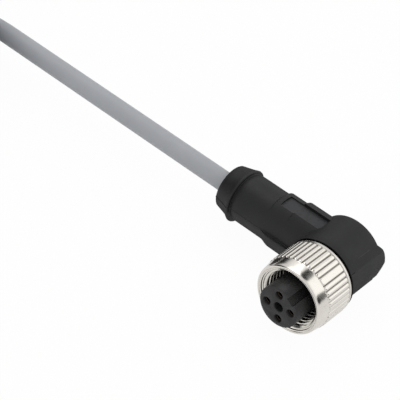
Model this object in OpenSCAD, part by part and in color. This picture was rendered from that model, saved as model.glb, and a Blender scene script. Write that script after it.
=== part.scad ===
// Right-angle M12 female cordset: moulded elbow, knurled coupling nut, socket
// insert with four contacts, their cores, and a cable with four bare ends.
// Frame: millimetres, +Z up. The origin is the centre of the nut's mouth. The
// mating axis runs along Y and the mouth faces -Y. The cable leaves along -X at
// cable_axis_y. The elbow's parting plane is Z = 0.

/* [Coupling nut] */
// Outer diameter over the knurl
nut_d = 15; // [14.6:0.1:15.8]
// Outer diameter of the smooth rim at the mouth
nut_rim_d = 14.2; // [13.8:0.1:14.4]
// Length of the nut along its axis
nut_len = 9.4; // [9:0.1:10]
// Length of the smooth cone ahead of the knurl
nut_cone_len = 2.7; // [2:0.1:3.2]
// Plain band left behind the knurl
nut_back_band = 0.9; // [0.5:0.1:1.4]
// Number of knurl grooves
knurl_count = 42; // [30:1:48]
// Depth of the knurl grooves
knurl_depth = 0.3; // [0.15:0.05:0.35]
// How far the grooves run out onto the cone
knurl_runout = 0.5; // [0.3:0.1:0.8]
// Angle taken by the wide land that marks the key's side
index_land = 12.9; // [10:0.1:14]
// Angle of the wide land, from +X towards +Z
index_angle = 53.8; // [45:0.2:60]
// Nominal thread diameter
thread_d = 12; // [12:0.05:12.2]
// Pitch of the thread
thread_pitch = 1; // [0.75:0.25:1]
// Thickness of the lip at the back of the nut
nut_lip = 1.8; // [1.4:0.1:2.2]
// Width of the chamfer at the mouth
mouth_chamfer = 0.75; // [0.4:0.05:0.9]

/* [Socket insert] */
// Diameter of the insert that enters the mating plug
insert_d = 8.4; // [8:0.1:8.6]
// How far the insert stands out of the nut's mouth
insert_reach = 2.6; // [1:0.1:3.5]
// Gap between the flange and the nut's thread, in radius
flange_gap = 0.26; // [0.15:0.01:0.35]
// Thickness of that flange
flange_t = 1.4; // [1:0.1:1.8]
// Diameter of the neck that passes through the nut's lip
neck_d = 9; // [8.8:0.1:9.3]
// Length of the insert that is held inside the elbow
insert_tail = 2; // [1.5:0.1:2.4]
// Pitch circle of the four contacts
contact_circle = 5.3; // [5:0.05:5.4]
// Turn of the contacts and the keyway about the mating axis, from +X towards +Z
insert_turn = 8.5; // [0:0.5:15]
// Width of the keyway
keyway_w = 1.7; // [1.2:0.1:1.9]
// Depth of the keyway below the insert's surface
keyway_depth = 0.8; // [0.6:0.05:0.9]
// Diameter of the blank centre hole
blank_d = 1.9; // [1.4:0.1:2]
// Depth of the blank centre hole
blank_depth = 5; // [2:0.5:8]
// Thickness of the seal ring in front of the flange
seal_t = 1; // [0.85:0.05:1.05]

/* [Contacts] */
// Outer diameter of a contact's barrel
contact_d = 1.7; // [1.6:0.05:1.8]
// Bore of a contact, for a 1 mm pin
contact_bore_d = 1.06; // [1.02:0.01:1.1]
// Depth of that bore
contact_bore_depth = 7; // [5:0.5:7.5]
// Length of a contact's barrel
contact_barrel_len = 9; // [8.5:0.1:9.5]
// How far the contact lies below the insert's face
contact_recess = 0.6; // [0.3:0.1:1]
// Entry hole in front of each contact
entry_d = 1.35; // [1.2:0.05:1.5]
// Diameter of the countersink at the mouth of an entry hole
entry_mouth_d = 1.95; // [1.7:0.05:2.1]
// Depth of that countersink
entry_mouth_depth = 0.25; // [0.1:0.05:0.25]
// Diameter of the solder tail
tail_d = 1.2; // [1:0.05:1.3]
// How far the solder tail stands behind the insert
tail_reach = 0.8; // [0.5:0.1:1]

/* [Elbow] */
// Distance from the nut's mouth to the cable axis
cable_axis_y = 15.7; // [15.5:0.1:16.2]
// Gap between the nut's lip and the insert's flange
nut_gap = 0.3; // [0.2:0.05:0.5]
// Gap between the nut's back and the moulded head
head_gap = 0.9; // [0.5:0.05:1.1]
// Diameter of the slim barrel
barrel_d = 10; // [9.5:0.1:10.3]
// Diameter of the lower half of the thick section next to the head
thick_d = 11.1; // [10.7:0.1:11.5]
// Where the lower half starts, measured from the mating axis
thick_len = 15.6; // [14.5:0.1:17]
// Length of the ramp up to the thick section on its lower half
thick_ramp = 1.6; // [0.5:0.1:2.5]
// Diameter of the upper half of the thick section
thick_top_d = 10.9; // [10.5:0.1:11.5]
// Where the upper half starts, measured from the mating axis
thick_top_len = 15.3; // [14.5:0.1:16.5]
// Diameter of the raised pad on the upper half and at the head's end
pad_d = 12; // [11.7:0.1:12.3]
// Where the raised pad starts, measured from the mating axis
pad_len = 11.1; // [10.5:0.1:12]
// Diameter of the head
head_d = 14; // [13.6:0.1:14.4]
// How far the head's axis lies behind the mating axis, towards the cable
head_shift = 0.7; // [0.4:0.1:0.9]
// Length of the head behind the nut
head_len = 9.6; // [9.1:0.1:9.9]
// Distance from the mating axis to the flat end face
head_flat = 5.95; // [5.6:0.05:6.1]
// Draft of the flat end face, in degrees
end_draft = 8; // [4:1:12]

/* [Collar] */
// Distance from the mating axis to the cable end of the collar
collar_end = 27; // [25:0.5:30]
// Diameter of the collar at its cable end
collar_end_d = 9.2; // [8.8:0.1:9.8]
// Diameter of the collar over its lip
collar_d = 11; // [10.5:0.1:11.4]
// Length of the collar
collar_len = 4.3; // [4:0.1:5.5]
// Height of the bevel behind the lip
collar_bevel = 0.3; // [0.1:0.05:0.5]

/* [Label recess] */
// Length of the bare recess on the upper side
recess_len = 9.2; // [8:0.1:9.4]
// Width of the recess
recess_w = 3.2; // [2.5:0.1:3.6]
// Height of the recess floor above the cable axis
recess_floor = 4.9; // [4.6:0.05:5.1]
// Distance from the mating axis to the near end of the recess
recess_start = 5; // [4.6:0.1:5.6]

/* [Inner mould] */
// Height of the inner mould along the mating axis
block_len = 6.4; // [6:0.1:6.8]
// Diameter of the nose that grips the cable
nose_d = 6.6; // [6.2:0.1:7]
// Distance from the mating axis to the end of the nose
nose_len = 10.5; // [10.2:0.1:11.5]
// How far the cable's jacket enters the nose
jacket_grip = 2.5; // [1.5:0.1:3]

/* [Cable] */
// Diameter of the cable
cable_d = 4.1; // [4:0.05:4.2]
// Diameter of one insulated core
core_d = 1.1; // [1:0.05:1.15]
// Radius of the circle that the cores lie on
bundle_r = 0.82; // [0.82:0.01:0.86]
// Diameter of a tinned conductor end
tip_d = 0.6; // [0.5:0.05:0.7]
// Length of a tinned conductor end
tip_len = 6; // [4:0.5:8]

/* [Hank] */
// Thickness of the tie round the hank
tie_t = 0.5; // [0.3:0.1:0.6]
// Width of the tie
tie_w = 5; // [3:0.5:8]
// Spacing of the cable's turns
turn_pitch = 4.15; // [4.1:0.05:4.3]
// Radius of the inner column of turns at the hank's ends
turn_r = 12.3; // [12.3:0.1:12.8]
// Length of the straight runs of the hank
run_len = 52; // [45:1:56]
// Distance from the mating axis to the near end of the straight runs
run_start = 103.5; // [103:0.5:108]
// Layers of turns in the hank
layers = 5; // [5:1:6]

/* [Hidden] */
$fn = 96;
// Running clearance between the nut and the neck, in radius
nut_clearance = 0.2;
// Gap left where one moulded or pressed piece lies against another
bond_gap = 0.02;
// How far the flange stands past the seal ring, in radius
seal_shoulder = 0.2;
// Run-out of a cut beyond the face it opens
cut = 1;
// Small edge chamfer
edge = 0.3;

face_y = -insert_reach;
head_y = nut_len + head_gap;
lip_y = nut_len - nut_lip;
flange_y = lip_y - nut_gap - flange_t;
seat_y = flange_y - seal_t - 2 * bond_gap;
tail_y = nut_len + nut_gap + insert_tail;
contact_y = face_y + contact_recess;
solder_y = tail_y + tail_reach;
minor_d = thread_d - 1.0825 * thread_pitch;
lip_bore_d = neck_d + 2 * nut_clearance;
flange_d = minor_d - 2 * flange_gap;
seat_d = flange_d - 2 * (seal_t + seal_shoulder);
jacket_x = -nose_len + jacket_grip;
pad_r = pad_d / 2;
floor_z = -nut_d / 2;
knurl_len = nut_len - nut_cone_len - nut_back_band;
knurl_step = (360 - index_land) / (knurl_count - 1);
key_angle = 45 + insert_turn;
// Wall left between the keyway and the seal's seat
key_stop = 0.4;
core_sides = 10;
core_steps = 10;
// Straight stretch at each end of a core or a lead
stub = 0.3;
lead_sides = 8;
cable_sides = 12;

// The hank: its first layer, its upper side and its two columns of turns
layer_z = floor_z + tie_t + cable_d / 2;
hank_r = turn_r + turn_pitch + cable_d / 2;
hank_hole_r = turn_r - cable_d / 2;
hank_y = cable_axis_y - turn_r - turn_pitch;
hank_h = cable_d + (layers - 1) * turn_pitch + 1;
entry_z = layer_z + turn_pitch;
exit_y = hank_y - turn_r - turn_pitch;
cut_end_x = -run_start + 12;

// Route of the cable from the collar into the hank
cable_points = [
    [-collar_end, cable_axis_y, 0],
    [-40, cable_axis_y, 0],
    [-60, cable_axis_y, 0],
    [-80, cable_axis_y, 0],
    [-90, cable_axis_y, 0],
    [-97, cable_axis_y, entry_z / 2],
    [-run_start, cable_axis_y, entry_z]
];
// Sideways place of each lead where its tinned end starts
lead_spread = [3, -1, 1, 5];
lead_len = [24, 26, 25, 23];

// Place of contact i on its circle: 0 is near the top, 1 is on the cable's side, 2 is near the bottom
function contact_at(i) =
    let (turn = 90 * i + insert_turn)
    [-sin(turn), cos(turn)] * contact_circle / 2;
// Place of core i in the bundle, along Y and Z from the cable axis
function bundle_at(i) = [-sin(90 * i), cos(90 * i)] * bundle_r;

// Turns +Z to +Y, so that a cylinder stands along the mating axis
module along_y() {
    rotate([-90, 0, 0]) children();
}

// Turns +Z to +X and lifts the axis to the cable's
module along_x() {
    translate([0, cable_axis_y, 0]) rotate([0, 90, 0]) children();
}

// A rod along the mating axis from one Y to another
module rod_y(from, to, d) {
    translate([0, from, 0]) along_y() cylinder(d = d, h = to - from);
}

// A rod along the cable axis from one X to another
module rod_x(from, to, d) {
    along_x() translate([0, 0, from]) cylinder(d = d, h = to - from);
}

// A cone that opens the mouth of a hole in the insert's face
module countersink() {
    translate([0, face_y - bond_gap, 0]) along_y()
        cylinder(d1 = entry_mouth_d, d2 = entry_d, h = entry_mouth_depth + bond_gap);
}

module at_contact(i) {
    translate([contact_at(i)[0], 0, contact_at(i)[1]]) children();
}

// The space above the parting plane
module upper_half() {
    translate([-200, -50, 0]) cube([250, 100, 50]);
}

// Unit tangent of a route at point i
function tangent(p, i) =
    let (a = p[max(i - 1, 0)], b = p[min(i + 1, len(p) - 1)], d = b - a)
    d / norm(d);
// A ring of points round a route's point, square to its tangent
function ring(p, i, r, sides) =
    let (t = tangent(p, i), up = abs(t[2]) > 0.9 ? [1, 0, 0] : [0, 0, 1])
    let (s = cross(t, up) / norm(cross(t, up)), u = cross(s, t))
    [for (k = [0:sides - 1]) p[i] + r * (cos(360 * k / sides) * s + sin(360 * k / sides) * u)];

// A tube swept along a route
module sweep(p, d, sides) {
    n = len(p);
    rings = [for (i = [0:n - 1]) each ring(p, i, d / 2, sides)];
    walls = [
        for (i = [0:n - 2]) for (k = [0:sides - 1])
        let (m = (k + 1) % sides)
        [i * sides + k, i * sides + m, (i + 1) * sides + m, (i + 1) * sides + k]
    ];
    first = [for (k = [sides - 1:-1:0]) k];
    last = [for (k = [0:sides - 1]) (n - 1) * sides + k];
    polyhedron(rings, concat([first], walls, [last]));
}

// Smooth curve through four guide points
function bezier(a, b, c, d, t) =
    a * pow(1 - t, 3) + 3 * b * t * pow(1 - t, 2) + 3 * c * t * t * (1 - t) + d * pow(t, 3);
function bend(a, b, c, d, steps) = [for (i = [0:steps]) bezier(a, b, c, d, i / steps)];

// Route of core i: out of its solder tail, round the elbow and into the jacket
function core_route(i) =
    let (from = [contact_at(i)[0], solder_y, contact_at(i)[1]])
    let (to = [jacket_x, cable_axis_y + bundle_at(i)[0], bundle_at(i)[1]])
    let (a = from + [0, stub, 0], b = to + [stub, 0, 0])
    let (rise = b[1] - a[1], reach = a[0] - b[0])
    concat([from], bend(a, a + [0, 0.85 * rise, 0], b + [0.75 * reach, 0, 0], b, core_steps), [to]);

// ---- Connector ----

module collar() {
    along_x() translate([0, 0, -collar_end]) rotate_extrude()
        polygon([
            [0, 0],
            [collar_end_d / 2 - edge, 0],
            [collar_end_d / 2, edge],
            [collar_d / 2 - 0.1, collar_len - 3 * edge],
            [collar_d / 2, collar_len - 2 * edge],
            [collar_d / 2 - 0.1, collar_len - collar_bevel],
            [barrel_d / 2 - cut, collar_len],
            [0, collar_len]
        ]);
}

module thick_section() {
    difference() {
        along_x() translate([0, 0, -thick_len]) rotate_extrude()
            polygon([
                [0, 0],
                [barrel_d / 2 - edge, 0],
                [thick_d / 2, thick_ramp],
                [thick_d / 2, thick_len],
                [0, thick_len]
            ]);
        upper_half();
    }
    intersection() {
        rod_x(-thick_top_len, 0, thick_top_d);
        upper_half();
    }
}

// Cuts the head's end with two drafted faces that meet on the parting plane
module end_clip() {
    reach = 12;
    back = head_flat - reach * tan(end_draft);
    rotate([90, 0, 0]) translate([0, 0, -60]) linear_extrude(120)
        polygon([[-60, -reach], [back, -reach], [head_flat, 0], [back, reach], [-60, reach]]);
}

module head_cylinder(length) {
    translate([-head_shift, 0, 0]) rod_y(head_y, head_y + length, head_d);
}

module head() {
    intersection() {
        end_clip();
        union() {
            head_cylinder(head_len);
            intersection() {
                rod_x(-cut, head_flat + cut, pad_d);
                union() {
                    upper_half();
                    head_cylinder(2 * head_len);
                }
            }
        }
    }
}

module raised_pad() {
    intersection() {
        rod_x(-pad_len, 0, pad_d);
        upper_half();
    }
}

// Outer shape of the inner mould, grown by a gap
module inner_mould_form(gap) {
    rod_y(tail_y - gap, tail_y + block_len + gap, neck_d + 2 * gap);
    rod_x(-nose_len - gap, 0, nose_d + 2 * gap);
}

module overmould_body() color([0.16, 0.16, 0.17]) {
    difference() {
        union() {
            collar();
            rod_x(-collar_end + cut, 0, barrel_d);
            thick_section();
            raised_pad();
            head();
        }
        rod_y(head_y - cut, tail_y, neck_d + 2 * bond_gap);
        inner_mould_form(bond_gap);
        rod_x(-collar_end - cut, -nose_len, cable_d + 2 * bond_gap);
        translate([-recess_start - recess_len, cable_axis_y - recess_w / 2, recess_floor])
            cube([recess_len, recess_w, cable_axis_y]);
    }
}

// A square bar set on its edge, as deep into the nut as the knurl
module knurl_groove(angle) {
    side = knurl_depth * sqrt(2);
    rotate([0, -angle, 0]) translate([nut_d / 2, nut_cone_len - knurl_runout, 0]) rotate([0, 45, 0])
        translate([-side / 2, 0, -side / 2]) cube([side, knurl_len + knurl_runout, side]);
}

module coupling_nut() color([0.78, 0.76, 0.72]) {
    difference() {
        along_y() rotate_extrude()
            polygon([
                [lip_bore_d / 2, nut_len],
                [nut_d / 2 - edge, nut_len],
                [nut_d / 2, nut_len - edge],
                [nut_d / 2, nut_cone_len],
                [nut_rim_d / 2, edge],
                [nut_rim_d / 2 - edge, 0],
                [minor_d / 2 + mouth_chamfer, 0],
                [minor_d / 2, mouth_chamfer],
                [minor_d / 2, lip_y],
                [lip_bore_d / 2, lip_y]
            ]);
        for (i = [0:knurl_count - 1]) {
            knurl_groove(index_angle - index_land / 2 - i * knurl_step);
        }
    }
}

module contact_carrier() color([0.13, 0.13, 0.14]) {
    difference() {
        union() {
            along_y() rotate_extrude()
                polygon([
                    [0, face_y],
                    [insert_d / 2 - edge, face_y],
                    [insert_d / 2, face_y + edge],
                    [insert_d / 2, seat_y],
                    [seat_d / 2, seat_y],
                    [seat_d / 2, flange_y],
                    [flange_d / 2, flange_y],
                    [flange_d / 2, flange_y + flange_t],
                    [neck_d / 2, flange_y + flange_t],
                    [neck_d / 2, tail_y - bond_gap],
                    [0, tail_y - bond_gap]
                ]);
        }
        rotate([0, -key_angle, 0])
            translate([insert_d / 2 - keyway_depth, face_y - cut, -keyway_w / 2])
            cube([cut + keyway_depth, seat_y - key_stop - face_y + cut, keyway_w]);
        rod_y(face_y - cut, face_y + blank_depth, blank_d);
        for (i = [0:3]) {
            at_contact(i) {
                rod_y(face_y - cut, contact_y, entry_d);
                countersink();
                rod_y(contact_y - bond_gap, contact_y + contact_barrel_len + bond_gap, contact_d + 2 * bond_gap);
                rod_y(contact_y, tail_y + cut, tail_d + 2 * bond_gap);
            }
        }
    }
}

module contact(i) {
    at_contact(i) difference() {
        union() {
            rod_y(contact_y, contact_y + contact_barrel_len, contact_d);
            rod_y(contact_y + contact_barrel_len - cut, solder_y, tail_d);
        }
        rod_y(contact_y - cut, contact_y + contact_bore_depth, contact_bore_d);
    }
}

module contact_1() color([0.8, 0.62, 0.32]) contact(0);
module contact_2() color([0.8, 0.62, 0.32]) contact(1);
module contact_3() color([0.8, 0.62, 0.32]) contact(2);
module contact_4() color([0.8, 0.62, 0.32]) contact(3);

module seal_ring() color([0.1, 0.1, 0.1]) {
    ring_r = seat_d / 2 + bond_gap + seal_t / 2;
    translate([0, seat_y + bond_gap + seal_t / 2, 0]) along_y()
        rotate_extrude() translate([ring_r, 0]) circle(d = seal_t, $fn = 48);
}

module inner_mould() color([0.3, 0.3, 0.32]) {
    difference() {
        inner_mould_form(0);
        rod_x(-nose_len - cut, jacket_x, cable_d + 2 * bond_gap);
        for (i = [0:3]) {
            at_contact(i) rod_y(tail_y - cut, solder_y, tail_d + 2 * bond_gap);
            sweep(extended(core_route(i)), core_d + 2 * bond_gap, core_sides);
        }
    }
}

// A route with a short straight stretch added at each end
function extended(p) =
    let (n = len(p))
    concat([p[0] - [0, bond_gap, 0]], [for (i = [1:n - 2]) p[i]], [p[n - 1] - [bond_gap, 0, 0]]);

module core_brown() color([0.4, 0.22, 0.12]) sweep(core_route(0), core_d, core_sides);
module core_white() color([0.92, 0.92, 0.9]) sweep(core_route(1), core_d, core_sides);
module core_blue() color([0.12, 0.25, 0.6]) sweep(core_route(2), core_d, core_sides);
module core_black() color([0.06, 0.06, 0.06]) sweep(core_route(3), core_d, core_sides);

// ---- Cable ----

module cable_jacket_end() color([0.6, 0.61, 0.62]) {
    rod_x(-collar_end, jacket_x, cable_d);
}

module cable_run() color([0.6, 0.61, 0.62]) sweep(cable_points, cable_d, cable_sides);

// An upright block with round ends along the hank's runs
module stadium(r, h) {
    cylinder(r = r, h = h);
    translate([-run_len, 0, 0]) cylinder(r = r, h = h);
    translate([-run_len, -r, 0]) cube([run_len, 2 * r, h]);
}

module cable_hank() color([0.6, 0.61, 0.62]) {
    translate([-run_start, hank_y, floor_z + tie_t]) difference() {
        stadium(hank_r, hank_h);
        translate([0, 0, -cut]) stadium(hank_hole_r, hank_h + 2 * cut);
    }
    // The last stretch of the cable, which runs straight out of the lowest layer
    translate([-run_start, exit_y, layer_z]) rotate([0, 90, 0]) cylinder(d = cable_d, h = cut_end_x + run_start);
}

module hank_tie() color([0.1, 0.1, 0.1]) {
    wide = 2 * hank_r;
    translate([-run_start - run_len / 2 - tie_w / 2, hank_y - hank_r, floor_z + tie_t]) {
        difference() {
            translate([0, -tie_t, -tie_t]) cube([tie_w, wide + 2 * tie_t, hank_h + 2 * tie_t]);
            translate([-cut, 0, 0]) cube([tie_w + 2 * cut, wide, hank_h]);
        }
    }
}

// Route of lead i: out of the jacket's cut end, down to the floor and apart
function lead_end(i) = [cut_end_x + lead_len[i], exit_y + lead_spread[i], floor_z + core_d / 2];
function lead_start(i) =
    [cut_end_x, exit_y, layer_z] + [0, bundle_at(i)[0], bundle_at(i)[1]];
function lead_route(i) =
    let (a = lead_start(i) + [stub, 0, 0], b = lead_end(i) - [stub, 0, 0], third = [lead_len[i] / 3, 0, 0])
    concat([lead_start(i)], bend(a, a + third, b - 1.4 * third, b, 9), [lead_end(i)]);
module lead(i) {
    sweep(lead_route(i), core_d, lead_sides);
}

module tip(i) {
    translate(lead_end(i)) rotate([0, 90, 0]) cylinder(d = tip_d, h = tip_len);
}

module lead_brown() color([0.4, 0.22, 0.12]) lead(0);
module lead_white() color([0.92, 0.92, 0.9]) lead(1);
module lead_blue() color([0.12, 0.25, 0.6]) lead(2);
module lead_black() color([0.06, 0.06, 0.06]) lead(3);
module tip_brown() color([0.8, 0.8, 0.8]) tip(0);
module tip_white() color([0.8, 0.8, 0.8]) tip(1);
module tip_blue() color([0.8, 0.8, 0.8]) tip(2);
module tip_black() color([0.8, 0.8, 0.8]) tip(3);

overmould_body();
coupling_nut();
contact_carrier();
contact_1();
contact_2();
contact_3();
contact_4();
seal_ring();
inner_mould();
core_brown();
core_white();
core_blue();
core_black();
cable_jacket_end();
cable_run();
cable_hank();
hank_tie();
lead_brown();
lead_white();
lead_blue();
lead_black();
tip_brown();
tip_white();
tip_blue();
tip_black();
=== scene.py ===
"""Looks of a right-angle M12 female cordset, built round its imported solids.

Lengths are in millimetres and become metres where a mesh is made. The mating axis is Y with the mouth at
y = 0 facing -Y, the cable leaves along -X, and Z is up. The elbow's parting plane is z = 0."""
import math

import bmesh
import bpy
from mathutils import Matrix, Vector


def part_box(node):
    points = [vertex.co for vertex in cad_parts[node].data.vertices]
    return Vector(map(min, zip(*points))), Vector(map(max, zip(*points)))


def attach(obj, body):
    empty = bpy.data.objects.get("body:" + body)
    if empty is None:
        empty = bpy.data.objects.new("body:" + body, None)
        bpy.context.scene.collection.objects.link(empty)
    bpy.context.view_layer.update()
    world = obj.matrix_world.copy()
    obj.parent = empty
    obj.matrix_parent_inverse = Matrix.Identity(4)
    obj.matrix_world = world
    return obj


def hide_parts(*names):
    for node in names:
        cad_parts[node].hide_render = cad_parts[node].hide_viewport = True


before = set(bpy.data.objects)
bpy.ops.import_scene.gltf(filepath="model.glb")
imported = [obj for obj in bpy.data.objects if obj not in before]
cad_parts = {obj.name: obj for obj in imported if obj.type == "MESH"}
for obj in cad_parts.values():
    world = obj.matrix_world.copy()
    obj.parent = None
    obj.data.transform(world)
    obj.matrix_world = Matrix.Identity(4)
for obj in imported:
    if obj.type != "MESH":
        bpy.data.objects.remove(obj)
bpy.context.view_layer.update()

MM = 0.001
FULL = 2 * math.pi
QUARTER = math.pi / 2


# ---- Driving sizes, read from the frame ----
def box_mm(node):
    """A node's lowest and highest corners in millimetres."""
    low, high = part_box(node)
    return Vector(low) / MM, Vector(high) / MM


nut_low, nut_high = box_mm("coupling_nut")
carrier_low, _ = box_mm("contact_carrier")
jacket_low, jacket_high = box_mm("cable_jacket_end")
tie_low, tie_high = box_mm("hank_tie")
first_low, first_high = box_mm("contact_1")

# The nut's box ends a hair inside its lands
NUT_R = round(nut_high.z, 2)
NUT_LEN = nut_high.y
FLOOR_Z = nut_low.z
FACE_Y = carrier_low.y
CABLE_Y = (jacket_low.y + jacket_high.y) / 2
CABLE_R = (jacket_high.z - jacket_low.z) / 2
COLLAR_X = jacket_low.x
first_contact = (first_low + first_high) / 2
CONTACT_CIRCLE_R = math.hypot(first_contact.x, first_contact.z)
INSERT_TURN = math.atan2(-first_contact.x, first_contact.z)

# ---- Cable route, as in the part's source ----
# The hank: pitch of its turns, bend of the inner ones, length of its straight sides and where it starts
TURN_PITCH = 4.15
TURN_R = 12.3
RUN_LEN = 52.0
RUN_START = 103.5
LAYERS = 5
TIE_T = 0.5
TAIL_LEN = 12
LAYER_Z = FLOOR_Z + TIE_T + CABLE_R
ENTRY_Z = LAYER_Z + TURN_PITCH
HANK_Y = CABLE_Y - TURN_R - TURN_PITCH
EXIT_Y = HANK_Y - TURN_R - TURN_PITCH
CUT_END_X = -RUN_START + TAIL_LEN
# Places (x, z) of the run from the collar to the hank
STRAIGHT_RUN = [(COLLAR_X, 0), (-40, 0), (-60, 0), (-80, 0), (-90, 0), (-97, ENTRY_Z / 2),
                (-RUN_START, ENTRY_Z)]
# Points along each straight side and along each bend of a turn
TURN_POINTS = 26

# The frame doesn't give the sizes below.

# ---- Sizes: nut ----
MINOR_R = (12 - 1.0825) / 2
MAJOR_R = 6.0
THREAD_PITCH = 1.0
THREAD_STEPS = 112
# Share of half a pitch where a thread's flank starts to fall from the crest, and where it reaches the root
THREAD_FLANK = (0.28, 0.76)
NUT_SEGMENTS = 504
CONE_LEN = 2.7
KNURL_END = NUT_LEN - 0.75
KNURL_DEPTH = 0.3
KNURL_COUNT = 42
# Half of a groove: where its narrow flank and its wide soft edge start and end, and how much of the depth
# the flank takes
GROOVE_FLANK = (0.02, 0.2)
GROOVE_EDGE = (0.0, 0.5)
GROOVE_FLANK_SHARE = 0.7
# The land without grooves: its width and its middle, in degrees
INDEX_LAND = 12.9
INDEX_ANGLE = 53.8
LIP_Y = NUT_LEN - 1.8
LIP_BORE_R = 4.7
# Inner edge of the mouth: distance from the mouth, radius
MOUTH_STEPS = [(0.0, 6.58), (0.10, 6.50), (0.16, 6.30), (0.40, 6.22), (0.50, 6.02), (1.0, 5.45)]
# Outer wall from the mouth back: distance from the mouth, radius, share of the knurl's depth
NUT_CONE = [
    (0.05, 6.62, 0), (0.0, 6.68, 0), (0.0, 6.84, 0), (0.03, 6.93, 0), (0.12, 7.01, 0), (0.28, 7.08, 0),
    (1.0, 7.17, 0), (1.8, 7.26, 0), (2.45, 7.33, 0), (2.60, 7.34, 0),
]
NUT_KNURL = [(2.66, 7.38, 0.4), (2.74, 7.46, 0.9), (2.84, NUT_R, 1), (3.1, NUT_R, 1)]
NUT_KNURL += [(3.1 + 0.9 * i, NUT_R, 1) for i in range(1, 6)]
NUT_KNURL += [(KNURL_END - 0.2, NUT_R, 1), (KNURL_END - 0.08, 7.48, 1), (KNURL_END, 7.42, 0.8)]
NUT_BACK = [
    (KNURL_END + 0.06, 7.34, 0.4), (KNURL_END + 0.12, 7.3, 0), (KNURL_END + 0.2, 7.33, 0),
    (KNURL_END + 0.25, 7.4, 0), (NUT_LEN - 0.35, 7.41, 0), (NUT_LEN - 0.25, 7.39, 0),
    (NUT_LEN - 0.02, 7.3, 0), (NUT_LEN, 7.26, 0),
]

# ---- Sizes: elbow ----
ELBOW_SEGMENTS = 160
# How strongly the elbow's vertices are drawn towards the parting plane, from 0 to 1
ELBOW_WARP = 0.88
# Head: its front and far end, radii of its upper and lower half, and its offset from the mating axis
HEAD_Y = NUT_LEN + 0.6
HEAD_END = 19.9
HEAD_R = 6.98
HEAD_LOWER_R = 7.1
HEAD_SHIFT = 0.7
HEAD_ROUNDING = 0.25
# Thin rim in front of the head
RIM_Y = NUT_LEN + 0.35
RIM_T = 0.3
RIM_R = 7.2
# The two flat faces at the elbow's end, which meet at the parting plane
END_X = 5.95
END_DRAFT = math.radians(8)
END_ROUNDING = 0.12
# Barrel: radius of the slim part, of the lower half where it is thick, and under the head
BARREL_R = 5.02
LOWER_R = 5.58
BACK_R = 6.15
# Distances from the mating axis between which the lower half thickens, and the barrel joins the head
LOWER_TAPER = (15.7, 13.4)
BACK_TAPER = (1.5, 0)
# Angle about the cable's axis from which the raised upper half fades out
RAISED_LEAN = math.radians(43)
# Steps of the raised upper half: distance from the mating axis where one starts and ends, height
RAISED_STEPS = [(15.45, 15.15, 0.44), (11.25, 10.9, 0.92)]
# Collar: distance from the mating axis, radius
COLLAR_PROFILE = [
    (27.00, 4.22), (26.95, 4.44), (26.80, 4.58), (26.00, 4.78), (24.90, 5.05), (24.10, 5.28), (23.75, 5.42),
    (23.50, 5.50), (23.32, 5.47), (23.20, 5.34), (23.15, 4.98), (23.05, 4.86), (22.70, 4.88),
]
# Label recess: height of its floor, and its sides
RECESS_Z = 4.8
RECESS_X = (-14.2, -4.8)
RECESS_Y = (CABLE_Y - 1.6, CABLE_Y + 1.68)
RECESS_ROUNDING = 0.06
# Height and half width of the line that the parting plane leaves
BARREL_SEAM = (0.07, 0.07)
COLLAR_SEAM = (0.12, 0.12)
HEAD_SEAM = (0.06, 0.07)
# The collar's swell on its underside: height, and the distances where it rises and where it ends
COLLAR_SWELL = 0.3
SWELL_RISE = (23.1, 23.3)
SWELL_FALL = (24.2, 23.5)
# Hollows for the insert's neck, the inner mould and the jacket
NECK_END = 18.12
NECK_HOLE_R = 4.52
MOULD_END_X = -10.52
MOULD_HOLE_R = 3.32
JACKET_CLEARANCE = 0.02

# ---- Sizes: insert, contacts and seal ----
INSERT_R = 4.2
INSERT_END = 11.66
INSERT_HEAD_END = 4.86
SEAL_SEAT_R = 4.0
FLANGE_START = 5.9
FLANGE_END = 7.3
FLANGE_R = 5.2
FLANGE_EDGE = 0.08
INSERT_NECK_R = 4.5
KEYWAY_W = 1.7
KEYWAY_DEPTH = 0.85
KEYWAY_END = 4.46
# Radius, depth and flare of the blank hole and of the contacts' entry holes
BLANK_HOLE = (0.95, 5.0, 0.12)
ENTRY_HOLE = (0.675, 2.0, 0.3)
# Holes behind an entry hole, for the contact and for its tail
SEAT_HOLE_R = 0.87
TAIL_HOLE_R = 0.62
# Contact: its front, its radius and length, its bore, and its solder tail
CONTACT_Y = FACE_Y + 0.6
CONTACT_R = 0.85
CONTACT_LEN = 9
CONTACT_BORE_R = 0.53
CONTACT_BORE_LEN = 7
TAIL_R = 0.6
TAIL_END = 12.5
# Seal ring: radius of its ring and of its section, and its place
SEAL_R = 4.52
SEAL_SECTION_R = 0.5
SEAL_Y = 5.38

# ---- Sizes: leads ----
CORES = ("brown", "white", "blue", "black")
CORE_R = 0.55
BUNDLE_R = 0.82
# For each core, where its lead ends: sideways from the cable and along it
LEAD_SPREAD = (3, -1, 1, 5)
LEAD_LEN = (24, 26, 25, 23)
LEAD_STUB = 0.3
TIP_R = 0.3
TIP_LEN = 6.0
TIP_STRANDS = 7
TIP_TWIST = math.radians(240)

# ---- Sizes: tie ----
STRAP_PLY = TIE_T * 0.48
# Ends of the lap from the strap's middle, and how far it stands back from the strap's edges
LAP_ENDS = (-11, 9)
LAP_INSET = 0.1


# ---- Modelling helpers ----
def smooth_step(low, high, value):
    """Goes softly from 0 at low to 1 at high, and stays there beyond them."""
    t = min(1, max(0, (value - low) / (high - low)))
    return t * t * (3 - 2 * t)


def ring_edges(verts):
    """Edges that join neighbours of one ring."""
    inside = set(verts)
    return [e for e in {e for v in verts for e in v.link_edges} if all(v in inside for v in e.verts)]


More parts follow.
